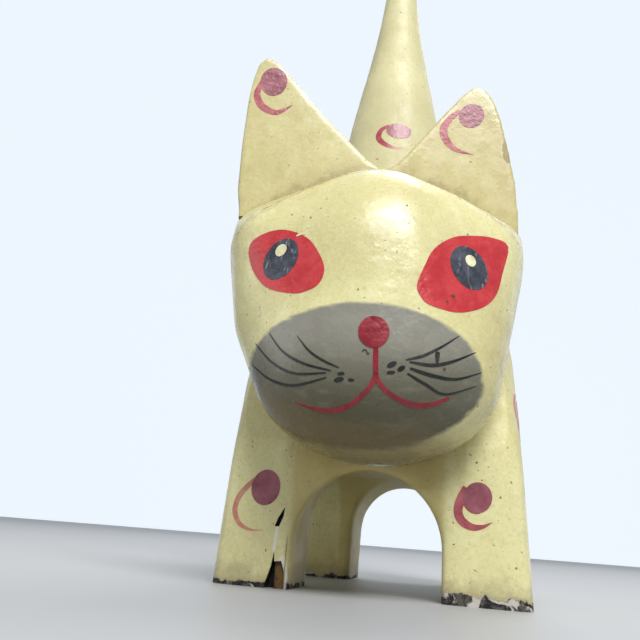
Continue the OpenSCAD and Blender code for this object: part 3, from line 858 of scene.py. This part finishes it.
# A dot and a crescent on each ear, on each front leg and on the tail
ear_front = Vector(head_place) + Vector((0, 0.006, 0))
right_ear = ([ears["right"]], "right_ear", ear_front, 10)
left_ear = ([ears["left"]], "left_ear", ear_front, 10)
leg_fronts = ([torso] + legs, "figure", (0, -0.0335, 0), 0)
tail_face = ([tail], "tail", (0, tail_y, 0), 0)
lay_on("ear_right_crescent", [stroke([(-32.9, 124.0), (-34.0, 120.8), (-34.2, 118.2), (-32.6, 115.4),
                                      (-29.3, 113.8), (-26.8, 114.8), (-24.8, 116.4)], 1.9, 0.4, 0.0, 0.45)],
       right_ear, "crescent_rose", 0.05)
lay_on("ear_right_dot", [drop(-30.3, 122.9, 3.5, 4.2)], right_ear, "dot_plum", 0.09)
lay_on("ear_left_crescent", [stroke([(18.0, 117.4), (15.6, 115.2), (14.0, 112.4), (14.2, 109.6), (15.9, 107.1),
                                     (18.4, 105.7), (21.6, 105.1)], 2.0, 0.5, 0.0, 0.4)],
       left_ear, "crescent_rose", 0.05)
lay_on("ear_left_dot", [drop(20.9, 116.2, 3.1, 3.6, 30)], left_ear, "dot_plum", 0.09)
lay_on("leg_right_crescent", [stroke([(-23.6, 22.6), (-25.6, 21.0), (-27.8, 18.2), (-28.5, 15.2), (-27.2, 12.6),
                                      (-24.6, 11.4), (-21.6, 11.5)], 1.25, 0.6, 0.0, 0.4)],
       leg_fronts, "crescent_pale", 0.04)
lay_on("leg_right_dot", [drop(-22.0, 20.4, 3.2, 3.8, 8)], leg_fronts, "dot_plum", 0.08)
lay_on("leg_left_crescent", [stroke([(20.9, 22.8), (19.6, 20.6), (19.0, 18.2), (19.8, 16.3), (21.8, 15.2),
                                     (24.0, 15.4), (25.8, 16.4)], 1.8, 1.2, 0.0, 0.42)],
       leg_fronts, "crescent_rose", 0.05)
lay_on("leg_left_dot", [drop(22.9, 21.1, 2.9, 3.1, 20)], leg_fronts, "dot_plum", 0.10)
lay_on("leg_left_smear", [stroke([(20.1, 20.6), (20.7, 19.2), (21.9, 18.2), (23.4, 18.0)], 0.8, 0.5, 0.2)],
       leg_fronts, "crescent_rose", 0.04)
# The same dot and crescent, set round the flanks, haunches, rump and tail
left_side = ([torso] + legs, "figure", (0, 0, 0), 90)
right_side = ([torso] + legs, "figure", (0, 0, 0), -90)
for name, where, across, up, size, mirror in (
        ("left_flank", left_side, -18.6, 41.0, 1.0, 1), ("left_haunch", left_side, 39.0, 55.0, 1.15, 1),
        ("left_hind", left_side, 44.0, 17.0, 0.95, 1), ("right_flank", right_side, 15.0, 44.0, 1.0, -1),
        ("right_haunch", right_side, -39.0, 55.0, 1.15, -1), ("right_hind", right_side, -44.0, 17.0, 0.95, -1),
        ("rump", ([torso] + legs, "figure", (0, 0, 0), 180), 2.0, 62.0, 1.1, 1),
        ("tail_back", ([tail], "tail", (0, tail_y, 0), 180), 6.0, 150.0, 0.95, 1),
        ("ear_right_back", ([ears["right"]], "right_ear", head_place, 190), 27.0, 116.0, 0.8, 1),
        ("ear_left_back", ([ears["left"]], "left_ear", head_place, 190), -22.0, 113.0, 0.8, -1)):
    sweep = [(across + mirror * dx * size, up + dz * size) for dx, dz in (
        (-0.5, 4.6), (-3.6, 3.6), (-6.3, 0.8), (-6.4, -2.8), (-4.0, -5.6), (-0.6, -6.4), (2.2, -5.9))]
    lay_on(name + "_crescent", [stroke(sweep, 1.45 * size, 0.45, 0.0, 0.42)], where, "crescent_rose", 0.05)
    lay_on(name + "_dot", [drop(across, up, 3.2 * size, 3.5 * size, 10)], where, "dot_plum", 0.09)
lay_on("tail_crescent", [stroke([(-6.0, 143.0), (-8.6, 141.4), (-9.3, 138.4), (-7.2, 135.6), (-3.8, 134.0),
                                 (-0.6, 134.2)], 1.9, 0.5, 0.0, 0.4)],
       tail_face, "crescent_rose", 0.05)
lay_on("tail_dot", [drop(-2.8, 140.9, 4.1, 3.0, 8)], tail_face, "dot_plum", 0.09)

# ---------------------------------------------------------------------------
# Floor and light: a plain pale floor and backdrop, with soft daylight from a
# high window on the cat's left, a faint doorway and the ceiling behind.
# ---------------------------------------------------------------------------
bpy.ops.object.select_all(action="DESELECT")
bpy.ops.mesh.primitive_plane_add(size=8, location=(0, 0, 0))
floor = bpy.context.object
floor.name = "floor"
bpy.ops.mesh.primitive_plane_add(size=8, location=(0, 3.2, 2), rotation=(math.radians(90), 0, 0))
backdrop = bpy.context.object
backdrop.name = "backdrop"
for sweep, tone, glow in ((floor, (0.36, 0.365, 0.37, 1), 0), (backdrop, (0.30, 0.31, 0.32, 1), 0.88)):
    plain, tree = mix_paint(sweep.name + "_paint")
    for socket, value in (("Base Color", tone), ("Roughness", 0.5), ("Emission Color", (0.86, 0.93, 1.0, 1)),
                          ("Emission Strength", glow)):
        tree.nodes["Principled BSDF"].inputs[socket].default_value = value
    sweep.data.materials.append(plain)

world = bpy.data.worlds.new("soft_room")
bpy.context.scene.world = world
world.use_nodes = True
world.node_tree.nodes["Background"].inputs["Color"].default_value = (0.88, 0.93, 1.0, 1)
world.node_tree.nodes["Background"].inputs["Strength"].default_value = 0.33
for name, place, aim, size, power in (
        ("window", (0.27, -0.57, 0.85), (0, -0.03, 0.07), 0.50, 13),
        ("doorway", (-0.62, -0.34, 0.20), (0, 0, 0.05), 0.40, 0.7),
        ("ceiling", (0.10, 0.75, 1.15), (0, 0, 0.10), 0.5, 6)):
    bpy.ops.object.light_add(type="AREA", location=place)
    lamp = bpy.context.object
    lamp.name = name
    lamp.data.size = size
    lamp.data.energy = power
    lamp.rotation_euler = (Vector(aim) - Vector(place)).to_track_quat("-Z", "Y").to_euler()
